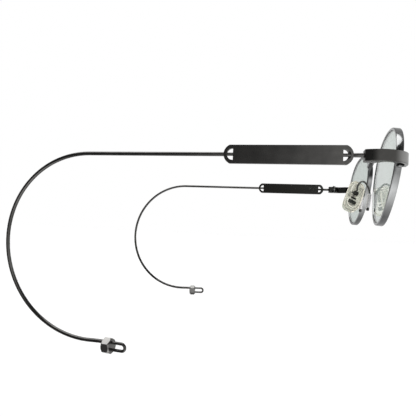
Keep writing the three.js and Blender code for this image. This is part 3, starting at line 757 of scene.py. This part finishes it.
def make_root():
    """A block that goes on with the end piece's curve, mortised for the hinge and bored for the stem."""
    width = OUTER_X + 1 - ROOT_INNER_X
    blank_middle = (ROOT_INNER_X + width / 2, ROOT_REAR_Y - ROOT_BLANK / 2, LUG_MIDDLE)
    root = block((width, ROOT_BLANK, LUG_HEIGHT), blank_middle)
    curve = rod(1, 2 * LUG_HEIGHT, (0, 0, LUG_MIDDLE), sides=240)
    open_mesh(curve)
    pick_all()
    bpy.ops.transform.resize(value=(*LUG_REACH, 1), center_override=(0, 0, 0))
    bpy.ops.transform.translate(value=Vector((*LUG_BEND, 0)) * MM)
    close_mesh()
    work_with(root, curve, "INTERSECT")
    open_mesh(root)
    pick("EDGE", lambda middle, edge: middle.y > ROOT_REAR_Y - 0.01 and abs(edge_run(edge).z) > 0.9)
    bpy.ops.mesh.bevel(offset=ROOT_ROUNDING * MM, segments=6)
    close_mesh()
    soften(heal(root))
    saw_off(root, (0, ROOT_FRONT_Y, 0), (0, -1, 0))
    bore = rod(ROOT_BORE, BORE_CUTTER, (TEMPLE_X, ROOT_REAR_Y, TEMPLE_LEVEL), "Y")
    cut(root, block(MORTISE_SIZE, MORTISE_MIDDLE), bore)
    dress_pair(heal(root), "temple_root", POLISHED_GUNMETAL, smooth_under=8)


def make_stem():
    """A short wire from the root's bore to the plate."""
    start = ROOT_REAR_Y - STEM_IN_ROOT
    end = PLATE_CENTRE_Y - PLATE_LENGTH / 2 + STEM_IN_PLATE
    stem = rod(WIRE_RADIUS, end - start, (TEMPLE_X, (start + end) / 2, TEMPLE_LEVEL), "Y")
    round_edges(stem, width=0.1, segments=2, over=40)
    dress_pair(stem, "stem_wire", DARK_WIRE)


PLATE_END_RADIUS = 3.45
PLATE_SIDES = 98
WINDOW_RADIUS = 1.95
WINDOW_WEB = 1.1
WINDOW_MIDDLE = PLATE_LENGTH / 2 - WINDOW_WEB - WINDOW_RADIUS
WINDOW_CHORD = 0.15
WINDOW_SIDES = 41
BAR_RADIUS = 0.56
BAR_LENGTH = 2.8
BAR_MIDDLE = (WINDOW_MIDDLE + 1.1, 0, -0.03)

# The front window's length and height, as shares of the rear one's, at the outer and the inner face.
WINDOW_TAPER = ((1, 1.17, 1), (-1, 0.76, 0.916))


def plate_outline(angle):
    """Two bowed ends, joined by straight edges."""
    bow = math.asin(PLATE_HALF_HEIGHT / PLATE_END_RADIUS)
    end = 1 if math.cos(angle) > 0 else -1
    last = math.pi * (PLATE_SIDES / 2 - 1) / PLATE_SIDES
    from_end = math.asin(math.sin(angle)) * bow / last
    centre = PLATE_LENGTH / 2 - PLATE_END_RADIUS
    return (end * (centre + PLATE_END_RADIUS * math.cos(from_end)), PLATE_END_RADIUS * math.sin(from_end))


def window_outline(angle):
    """A round window with a flat side towards the plate's middle."""
    opening = math.pi - math.acos(WINDOW_CHORD / WINDOW_RADIUS)
    from_end = angle * opening / (math.pi * (WINDOW_SIDES - 1) / WINDOW_SIDES)
    return (WINDOW_MIDDLE + WINDOW_RADIUS * math.cos(from_end), WINDOW_RADIUS * math.sin(from_end))


def cut_blank(outline, sides, thick):
    """A flat blank of an outline, sawn to a thickness about its middle."""
    blank = hoop(1, sides)
    open_mesh(blank)
    pick_all()
    bpy.ops.transform.rotate(value=QUARTER, orient_axis="Z", center_override=(0, 0, 0))
    redraw(outline)
    pick_all()
    bpy.ops.transform.translate(value=(0, 0, -thick / 2 * MM))
    bpy.ops.mesh.edge_face_add()
    draw_out((0, 0, thick))
    close_mesh()
    return heal(blank)


def tapered_window():
    """The front window's cutter: wide at the plate's outer face, narrower at its inner face."""
    cutter = cut_blank(window_outline, WINDOW_SIDES, 1.1 * PLATE_THICK)
    flat_side = Vector((WINDOW_MIDDLE - WINDOW_CHORD, 0, 0)) * MM
    open_mesh(cutter)
    for face, longer, higher in WINDOW_TAPER:
        pick("VERT", lambda middle, point: middle.z * face > 0)
        bpy.ops.transform.resize(value=(longer, higher, 1), center_override=flat_side)
    close_mesh()
    return cutter


def make_plate():
    """A bare flat plate; a round bar crosses each of its two windows."""
    plate = cut_blank(plate_outline, PLATE_SIDES, PLATE_THICK)
    rear_window = cut_blank(window_outline, WINDOW_SIDES, 3 * PLATE_THICK)
    cut(plate, rear_window, place(tapered_window(), turn(180, "Z")))
    heal(plate)
    round_edges(plate, width=0.12, segments=3, over=40)
    for end in (0, 180):
        bar = rod(BAR_RADIUS, BAR_LENGTH, BAR_MIDDLE, "X", 64)
        add(plate, place(bar, turn(end, "Z")))
    place(heal(plate), shift(TEMPLE_X, PLATE_CENTRE_Y, TEMPLE_LEVEL) @ LENGTHWISE)
    dress_pair(plate, "name_plate", SATIN_GUNMETAL, smooth_under=8)


SOLDERED = 0.3
HOOK_STRAIGHT = 49.8
STRAIGHT_STEPS = 10
HOOK_RADIUS = 34.8
HOOK_DEGREES = 181.5
HOOK_STEPS = 150
HOOK_SWEEP = math.radians(HOOK_DEGREES)
TIP_RADIUS = 50
TIP_DEGREES = 7.5
TIP_STEPS = 12
TIP_TURN = math.radians(TIP_DEGREES)
HOOK_GAP = 0.2
HOOK_SPLAY = 1.05
HOOK_LEAN = 4.7
HOOK_PLACE = (
    shift(TEMPLE_X, PLATE_CENTRE_Y + PLATE_LENGTH / 2 + HOOK_GAP, TEMPLE_LEVEL)
    @ turn(HOOK_SPLAY, "Z") @ turn(HOOK_LEAN, "Y") @ LENGTHWISE
)
HOOK_END = Vector((
    HOOK_STRAIGHT + HOOK_RADIUS * math.sin(HOOK_SWEEP),
    -HOOK_RADIUS * (1 - math.cos(HOOK_SWEEP)),
    0,
))
TIP_AHEAD = Vector((math.cos(HOOK_SWEEP), -math.sin(HOOK_SWEEP), 0))
TIP_END = HOOK_END + TIP_RADIUS * (math.sin(TIP_TURN) * TIP_AHEAD + Vector((0, 0, 1 - math.cos(TIP_TURN))))
END_PLACE = HOOK_PLACE @ shift(*TIP_END) @ turn(-HOOK_DEGREES, "Z") @ turn(-TIP_DEGREES, "Y")
BEAD_ACROSS = 5.3
BEAD_LENGTH = 3.5
BEAD_END_RADIUS = 2.4
BEAD_DROP = 1.3
BEAD_BORE = WIRE_RADIUS + 0.15
WIRE_IN_BEAD = 0.8
LOOP_RADIUS = 0.56
LOOP_HALF_GAP = 1.35
LOOP_REACH = 5.3
LOOP_LEG = LOOP_REACH - LOOP_HALF_GAP
LOOP_START = 2.75


def make_ear_wire():
    """A round wire: straight, then turned down in a wide hook, its tip turned away from the head."""
    wire = hoop(WIRE_RADIUS, 20, (-SOLDERED, 0, 0), "X")
    open_mesh(wire)
    pick_all()
    for _ in range(STRAIGHT_STEPS):
        draw_out(((HOOK_STRAIGHT + SOLDERED) / STRAIGHT_STEPS, 0, 0))
    turn_out(HOOK_SWEEP, (HOOK_STRAIGHT, -HOOK_RADIUS, 0), (0, 0, -1), HOOK_STEPS)
    tip_axis = TIP_AHEAD.cross(Vector((0, 0, 1)))
    turn_out(TIP_TURN, HOOK_END + Vector((0, 0, TIP_RADIUS)), tip_axis, TIP_STEPS)
    close_ends(lambda middle: middle.y > -1, lambda middle: middle.y < -60)
    close_mesh()
    heal(wire)
    dress_pair(place(wire, HOOK_PLACE), "ear_wire", DARK_WIRE)


def make_bead():
    """A hexagonal bar turned conical at both ends and bored off its middle for the hook's end."""
    corner = BEAD_ACROSS / 2 / math.cos(math.pi / 6)
    bead = rod(corner, BEAD_LENGTH, (0, 0, 0), "X", 6)
    turned = rod(corner, BEAD_LENGTH, (0, 0, 0), "X", 72)
    open_mesh(turned)
    pick("EDGE", lambda middle, edge: abs(middle.x) > BEAD_LENGTH / 2 - 0.01)
    bpy.ops.mesh.bevel(offset=(corner - BEAD_END_RADIUS) * MM, segments=1)
    close_mesh()
    work_with(bead, turned, "INTERSECT")
    heal(bead)
    round_edges(bead, width=0.09, segments=2, over=25)
    cut(bead, rod(BEAD_BORE, BORE_CUTTER, (-BEAD_LENGTH / 2, -BEAD_DROP, 0), "X"))
    place(heal(bead), END_PLACE @ shift(BEAD_LENGTH / 2 - WIRE_IN_BEAD, BEAD_DROP))
    dress_pair(bead, "hex_bead", BEAD_STEEL, smooth_under=8)


def make_loop():
    """A narrow U of wire behind the bead."""
    loop = hoop(LOOP_RADIUS, 20, (0, LOOP_HALF_GAP, 0), "X")
    open_mesh(loop)
    pick_all()
    draw_out((LOOP_LEG, 0, 0))
    turn_out(math.pi, (LOOP_LEG, 0, 0), (0, 0, -1), 32)
    draw_out((-LOOP_LEG, 0, 0))
    close_ends(lambda middle: middle.y > 0, lambda middle: middle.y < 0)
    close_mesh()
    heal(loop)
    dress_pair(place(loop, END_PLACE @ shift(LOOP_START, BEAD_DROP)), "end_loop", DARK_WIRE)


# Nose pads and their arms

PAD_PIVOT = (9.3, 0.1, 0.95)
LEFT_PAD_FORWARD = 2
PAD_TURN = turn(-20, "Z") @ turn(-16, "Y") @ turn(25, "X")
PAD_PLACE = shift(*PAD_PIVOT) @ PAD_TURN
PAD_MIDDLE_Y = -0.65
PAD_HALF_WIDTH = 3.9
PAD_HALF_HEIGHT = 7.35
PAD_SQUARENESS = 3.4
PAD_INSET = 0.5
PAD_CROWN = 0.02

# The pad's section from its inner face round its edge to the hollow: how far inside its outline,
# and how far towards the outer face.
PAD_SECTION = [
    (1.9, -1.16), (1.3, -1.2), (0.8, -1.1), (0.4, -0.88), (0.13, -0.55), (0, -0.1), (0.02, 0.25),
    (0.14, 0.6), (0.36, 0.9), (0.66, 1.12), (0.95, 1.2), (1.2, 1.14), (1.4, 1.02), (1.75, 0.98),
]

# Size and middle of each bar in the pad's metal insert, and of the box round its tab.
STAY = ((0.3, 0.36, 4.4), (0.6, -0.3, -1.8))
FOOT = ((0.7, 3.7, 1.7), (0.85, -0.3, -3.7))
CROSS_BAR = ((0.6, 2.4, 0.7), (0.85, -0.4, -1.65))
SHANK = ((2, 0.8, 0.9), (1.5, 0, 0.1))
BOX = ((1.9, 2.1, 1.5), (2.65, 0, 0.05))
BOX_SLOT = ((3.4, 1.1, 4), (1.7, 0, 0))
PIN_SPOT = (2.5, 0, 0)
PIN_FOOT = (2.5, -1.2, 0)
FOOT_ROUNDING = 0.35


def dress_pad_pair(piece, node, finish, smooth_under=35):
    """As dress_pair, with the left arm's piece further forward, because the arms are bent by hand."""
    other = twin(piece)
    place(piece, shift(y=-LEFT_PAD_FORWARD))
    dress(piece, f"{node}_left", finish, smooth_under)
    dress(other, f"{node}_right", finish, smooth_under)
    return piece, other


def pad_outline(angle):
    def swell(value):
        return math.copysign(abs(value) ** (2 / PAD_SQUARENESS), value)
    return (PAD_HALF_WIDTH * swell(math.cos(angle)), PAD_HALF_HEIGHT * swell(math.sin(angle)))


def make_pad():
    """A soft oval pad: a rounded rim round a shallow hollow on its outer face, a crowned inner face."""
    pad = hoop(1, 96)
    open_mesh(pad)
    redraw(pad_outline)
    pick_all()
    inset, level = PAD_SECTION[0]
    bpy.ops.transform.resize(
        value=(1 - inset / PAD_HALF_WIDTH, 1 - inset / PAD_HALF_HEIGHT, 1), center_override=(0, 0, 0),
    )
    bpy.ops.transform.translate(value=(0, 0, level * MM))
    for (inset, level), (next_inset, next_level) in zip(PAD_SECTION, PAD_SECTION[1:]):
        wider = (PAD_HALF_WIDTH - next_inset) / (PAD_HALF_WIDTH - inset)
        higher = (PAD_HALF_HEIGHT - next_inset) / (PAD_HALF_HEIGHT - inset)
        draw_out((0, 0, next_level - level), (wider, higher, 1))
    close_ends(lambda middle: middle.z > 0, lambda middle: middle.z < 0)
    pick("FACE", lambda middle, face: len(face.verts) > 4)
    bpy.ops.mesh.inset(thickness=PAD_INSET * MM, depth=PAD_CROWN * MM, use_individual=True)
    close_mesh()
    heal(pad)
    place(pad, PAD_PLACE @ shift(y=PAD_MIDDLE_Y) @ LENGTHWISE)
    for piece in dress_pad_pair(pad, "nose_pad", CLEAR_SILICONE, smooth_under=60):
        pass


def make_tab():
    """The pad's metal insert, a cross bar above a broad foot, with the tab that goes into the box."""
    tab, foot, bar, shank = (block(*shape) for shape in (STAY, FOOT, CROSS_BAR, SHANK))
    barrel = rod(radius=0.7, length=0.8, centre=PIN_SPOT, along="Y")
    open_mesh(foot)
    pick("EDGE", lambda middle, edge: abs(edge_run(edge).x) > 0.9)
    bpy.ops.mesh.bevel(offset=FOOT_ROUNDING * MM, segments=4)
    close_mesh()
    add(tab, foot, bar, shank, barrel)
    heal(tab)
    round_edges(tab, width=0.08, segments=2, over=40)
    dress_pad_pair(place(tab, PAD_PLACE), "pad_tab", BLACK_OXIDE)


def make_box():
    """A small open box round the tab, with its pin."""
    box = cut(block(*BOX), block(*BOX_SLOT))
    heal(box)
    round_edges(box, width=0.14, segments=3, over=40)
    cut(box, rod(radius=0.4, length=4.8, centre=PIN_SPOT, along="Y"))
    dress_pad_pair(place(heal(box), PAD_PLACE), "pad_box", BLACK_OXIDE)
    pin = slotted_screw(radius=0.3, length=2.6, head_radius=0.5, head_height=0.3, sides=20)
    stand = PAD_PLACE @ shift(*PIN_FOOT) @ UPRIGHT_IN_RIM
    dress_pad_pair(place(pin, stand), "pad_screw", DARK_WIRE)


POST_RADIUS = 0.85
POST_BORE = 0.52
POST_LENGTH = 6.2
POST_FOOT = (-23.2, -11.9, -2.3)
POST_PLACE = RIM_PLACE @ shift(*POST_FOOT) @ UPRIGHT_IN_RIM
POST_START = 0.6
POST_LIP = [(0.75, 0.04), (POST_RADIUS, 0.18)]
POST_EDGE = 0.1
GROOVES = 4
GROOVE_FLOOR = POST_RADIUS - 0.16
GROOVE_HALF_TOP = 0.2
GROOVE_HALF_FLOOR = 0.08


def make_post():
    """A short open tube behind the rim, grooved round."""
    radius, level = POST_START, 0
    post = hoop(radius, 28)
    open_mesh(post)
    pick_all()
    steps = list(POST_LIP)
    pitch = POST_LENGTH / (GROOVES + 1)
    for rib in range(1, GROOVES + 1):
        groove = rib * pitch
        steps += [(POST_RADIUS, groove - GROOVE_HALF_TOP), (GROOVE_FLOOR, groove - GROOVE_HALF_FLOOR)]
        steps += [(GROOVE_FLOOR, groove + GROOVE_HALF_FLOOR), (POST_RADIUS, groove + GROOVE_HALF_TOP)]
    steps += [(POST_RADIUS, POST_LENGTH - POST_EDGE), (POST_RADIUS - POST_EDGE, POST_LENGTH)]
    steps += [(POST_BORE, POST_LENGTH), (POST_BORE, 0)]
    for next_radius, next_level in steps:
        wider = next_radius / radius
        draw_out((0, 0, next_level - level), (wider, wider, 1))
        radius, level = next_radius, next_level
    pick("EDGE", lambda middle, edge: edge.is_boundary)
    bpy.ops.mesh.bridge_edge_loops()
    close_mesh()
    heal(post)
    dress_pair(place(post, POST_PLACE), "pad_post", SATIN_SILVER, smooth_under=25)


ARM_BEND = [(10.9, -5.9, 5.2), (11.2, -3.8, 7.2), (11.7, -1.8, 5.6)]
ARM_RADIUS = 0.42
ARM_BELOW_POST = 1.5
ARM_LANDING = Vector((3.13, 0, 1.15))
CRIMP_RADIUS = 0.68
CRIMP_LENGTH = 1.3
CRIMP_MIDDLE = (0, 0, -0.75)


def bent_arm(forward):
    """A wire from its crimped foot up through the post, over in an arc and down on to the box."""
    foot = RIM_PLACE @ (Vector(POST_FOOT) * MM + Vector((0, -ARM_BELOW_POST, 0)) * MM)
    mouth = RIM_PLACE @ (Vector(POST_FOOT) * MM + Vector((0, POST_LENGTH, 0)) * MM)
    bends = [Vector((x, y - forward * i / 2, z)) * MM for i, (x, y, z) in enumerate(ARM_BEND)]
    landing = shift(y=-forward) @ PAD_PLACE @ (ARM_LANDING * MM)
    route = bpy.data.curves.new("arm_route", "CURVE")
    route.dimensions = "3D"
    route.bevel_depth = ARM_RADIUS * MM
    route.bevel_resolution = 5
    route.resolution_u = 12
    route.use_fill_caps = True
    line = route.splines.new("BEZIER")
    line.bezier_points.add(5)
    for knot, spot in zip(line.bezier_points, [foot, mouth, *bends, landing]):
        knot.co = spot
        knot.handle_left_type = "AUTO"
        knot.handle_right_type = "AUTO"
    arm = bpy.data.objects.new("arm", route)
    bpy.context.collection.objects.link(arm)
    take(arm)
    bpy.ops.object.convert(target="MESH")
    arm = heal(bpy.context.object)
    crimp = rod(CRIMP_RADIUS, CRIMP_LENGTH, CRIMP_MIDDLE, sides=28)
    round_edges(crimp, width=0.22, segments=3, over=40)
    return heal(add(arm, place(crimp, POST_PLACE)))


def make_arms():
    dress(swap_side(bent_arm(0)), "pad_arm_right", DARK_WIRE)
    dress(bent_arm(LEFT_PAD_FORWARD), "pad_arm_left", DARK_WIRE)


# The studio

FLOOR_LEVEL = -0.25
FLOOR_SIZE = 12
FLOOR_TONE = 0.82
FLOOR_GLOW = 0.29
LAMP_SPREAD = 62


def seen_straight(nodes, links):
    """Tells the rays from the camera, also through glass, from the others."""
    path = nodes.new("ShaderNodeLightPath")
    either = nodes.new("ShaderNodeMath")
    either.operation = "MAXIMUM"
    links.new(path.outputs["Is Camera Ray"], either.inputs[0])
    links.new(path.outputs["Is Transmission Ray"], either.inputs[1])
    return either.outputs["Value"]


def finish_by_ray(nodes, links, lighting, seen, end):
    """Ends in one shader for the light and another for what is seen."""
    choose = nodes.new("ShaderNodeMixShader")
    links.new(seen_straight(nodes, links), choose.inputs["Fac"])
    links.new(lighting, choose.inputs[1])
    links.new(seen, choose.inputs[2])
    links.new(choose.outputs["Shader"], nodes.new(end).inputs["Surface"])


def make_floor():
    """A pale floor well below the glasses that keeps their shadow and is seen white."""
    bpy.ops.object.select_all(action="DESELECT")
    bpy.ops.mesh.primitive_plane_add(size=FLOOR_SIZE, location=(0, 0, FLOOR_LEVEL))
    floor = bpy.context.object
    floor.name = "studio_floor"
    finish = bpy.data.materials.new("pale_floor")
    nodes, links = nodes_of(finish)
    paint = nodes.new("ShaderNodeBsdfDiffuse")
    paint.inputs["Color"].default_value = (FLOOR_TONE, FLOOR_TONE, FLOOR_TONE, 1)
    glow = nodes.new("ShaderNodeEmission")
    glow.inputs["Strength"].default_value = FLOOR_GLOW
    both = nodes.new("ShaderNodeAddShader")
    links.new(paint.outputs["BSDF"], both.inputs[0])
    links.new(glow.outputs["Emission"], both.inputs[1])
    finish_by_ray(nodes, links, paint.outputs["BSDF"], both.outputs["Shader"], "ShaderNodeOutputMaterial")
    floor.data.materials.append(finish)
    floor.visible_glossy = False


# Tones of the room, each from one end of a direction to the other: on the camera's side from the front
# backwards and from the floor upwards, beyond the glasses likewise, and of a light patch low behind them.
NEAR_BACKWARDS = [
    (0.0, 0.9), (0.3, 0.95), (0.4, 1.05), (0.44, 1.2), (0.48, 0.85), (0.52, 0.33), (0.57, 0.18),
    (0.61, 0.15),
]
NEAR_UPWARDS = [
    (0.0, 0.9), (0.04, 1.45), (0.08, 1.6), (0.17, 1.05), (0.3, 0.65), (0.45, 0.75), (0.58, 0.95),
    (0.68, 0.45), (0.76, 0.06),
]
FAR_BACKWARDS = [(0.0, 0.7), (0.14, 0.7), (0.3, 0.95), (0.4, 1.0), (0.5, 0.8), (0.6, 0.5), (1.0, 0.35)]
FAR_UPWARDS = [(0.0, 0.34), (0.25, 0.45), (0.36, 0.55), (0.45, 0.9), (0.6, 1.0), (0.71, 0.4), (1.0, 0.3)]
PATCH_BACKWARDS = [(0.52, 0.0), (0.6, 1.0)]
PATCH_UPWARDS = [(0.05, 0.1), (0.17, 0.95), (0.25, 0.9), (0.35, 0.3), (0.42, 0.0)]
SIDE_CHANGE = [(0.4, 0.0), (0.5, 0.3), (0.6, 0.75), (0.7, 1.0)]
TO_LEFT = (1, 0, 0)
BACKWARDS = (0, 1, 0)
BACKWARDS_AND_UP = (0, 0.97, 0.25)
UPWARDS = (0, 0, 1)


def graded(nodes, links, way, tones):
    """Shades the room along a direction, from one end of it to the other."""
    towards = nodes.new("ShaderNodeTexCoord").outputs["Generated"]
    along = nodes.new("ShaderNodeVectorMath")
    along.operation = "DOT_PRODUCT"
    along.inputs[1].default_value = way
    links.new(towards, along.inputs[0])
    shade = nodes.new("ShaderNodeValToRGB")
    stops = shade.color_ramp.elements
    while len(stops) < len(tones):
        stops.new(0.5)
    for stop, (spot, tone) in zip(stops, tones):
        stop.position = spot
        stop.color = (tone, tone, tone, 1)
    links.new(spread_out(nodes, links, along.outputs["Value"], (-1, 1)), shade.inputs["Fac"])
    return shade.outputs["Color"]


def blended(nodes, links, way, first, second, share=None):
    """Lays one shading of the room over another."""
    blend = nodes.new("ShaderNodeMix")
    blend.data_type = "RGBA"
    blend.blend_type = way
    blend.inputs["Factor"].default_value = 1
    if share:
        links.new(share, blend.inputs["Factor"])
    links.new(first, blend.inputs["A"])
    links.new(second, blend.inputs["B"])
    return blend.outputs["Result"]


def make_room():
    """A room that is light beyond the glasses and darker behind the camera; it is seen white."""
    world = bpy.data.worlds.new("white_room")
    bpy.context.scene.world = world
    nodes, links = nodes_of(world)
    near, far, patch = (
        blended(nodes, links, "MULTIPLY", graded(nodes, links, way, back), graded(nodes, links, UPWARDS, up))
        for way, back, up in (
            (BACKWARDS_AND_UP, NEAR_BACKWARDS, NEAR_UPWARDS),
            (BACKWARDS, FAR_BACKWARDS, FAR_UPWARDS),
            (BACKWARDS, PATCH_BACKWARDS, PATCH_UPWARDS),
        )
    )
    far = blended(nodes, links, "LIGHTEN", far, patch)
    walls = blended(nodes, links, "MIX", near, far, graded(nodes, links, TO_LEFT, SIDE_CHANGE))
    room = nodes.new("ShaderNodeBackground")
    links.new(walls, room.inputs["Color"])
    white = nodes.new("ShaderNodeBackground")
    white.inputs["Color"].default_value = (1, 1, 1, 1)
    lighting, seen = room.outputs["Background"], white.outputs["Background"]
    finish_by_ray(nodes, links, lighting, seen, "ShaderNodeOutputWorld")


def soft_lamp(name, energy, shining):
    """A broad soft lamp, the same all over the glasses."""
    light = bpy.data.lights.new(name, "SUN")
    light.angle = math.radians(LAMP_SPREAD)
    light.energy = energy
    lamp = bpy.data.objects.new(name, light)
    bpy.context.collection.objects.link(lamp)
    lamp.rotation_euler = Vector(shining).to_track_quat("-Z", "Y").to_euler()
    return lamp


def make_lamps():
    """One lamp overhead, and a fill from the camera's side that the metal doesn't mirror."""
    soft_lamp("top_lamp", energy=1.95, shining=(0, -0.22, -1))
    fill = soft_lamp("fill_lamp", energy=1.5, shining=(0.95, 0.1, -0.25))
    fill.visible_glossy = False


CAMERA_SPOT = Vector((-206.427, 25.812, -12.542))
CAMERA_YAW = 0.2088946
CAMERA_PITCH = 0.0264632
CAMERA_ROLL = 0.0419047
CAMERA_FOCUS = 410 / 416
SENSOR_WIDTH = 36


def make_camera():
    """The photograph's viewpoint: from the wearer's right, a little from behind."""
    ahead = Vector((
        math.cos(CAMERA_YAW) * math.cos(CAMERA_PITCH),
        math.sin(CAMERA_YAW) * math.cos(CAMERA_PITCH),
        math.sin(CAMERA_PITCH),
    ))
    level = Vector((math.sin(CAMERA_YAW), -math.cos(CAMERA_YAW), 0))
    upright = level.cross(ahead)
    across = math.cos(CAMERA_ROLL) * level + math.sin(CAMERA_ROLL) * upright
    above = -math.sin(CAMERA_ROLL) * level + math.cos(CAMERA_ROLL) * upright
    facing = Matrix((across, above, -ahead)).transposed().to_4x4()
    lens = bpy.data.cameras.new("photo_camera")
    lens.sensor_width = SENSOR_WIDTH
    lens.lens = SENSOR_WIDTH * CAMERA_FOCUS
    lens.clip_start = 0.005
    lens.clip_end = 50
    camera = bpy.data.objects.new("photo_camera", lens)
    bpy.context.collection.objects.link(camera)
    camera.matrix_world = Matrix.Translation(CAMERA_SPOT * MM) @ facing
    bpy.context.scene.camera = camera


make_rim()
make_lens()
make_lock()
make_bridge()
make_end_piece()
make_hinge()
make_root()
make_stem()
make_plate()
make_ear_wire()
make_bead()
make_loop()
make_pad()
make_tab()
make_box()
make_post()
make_arms()
make_floor()
make_room()
make_lamps()
make_camera()
bpy.context.scene.view_settings.view_transform = "Standard"
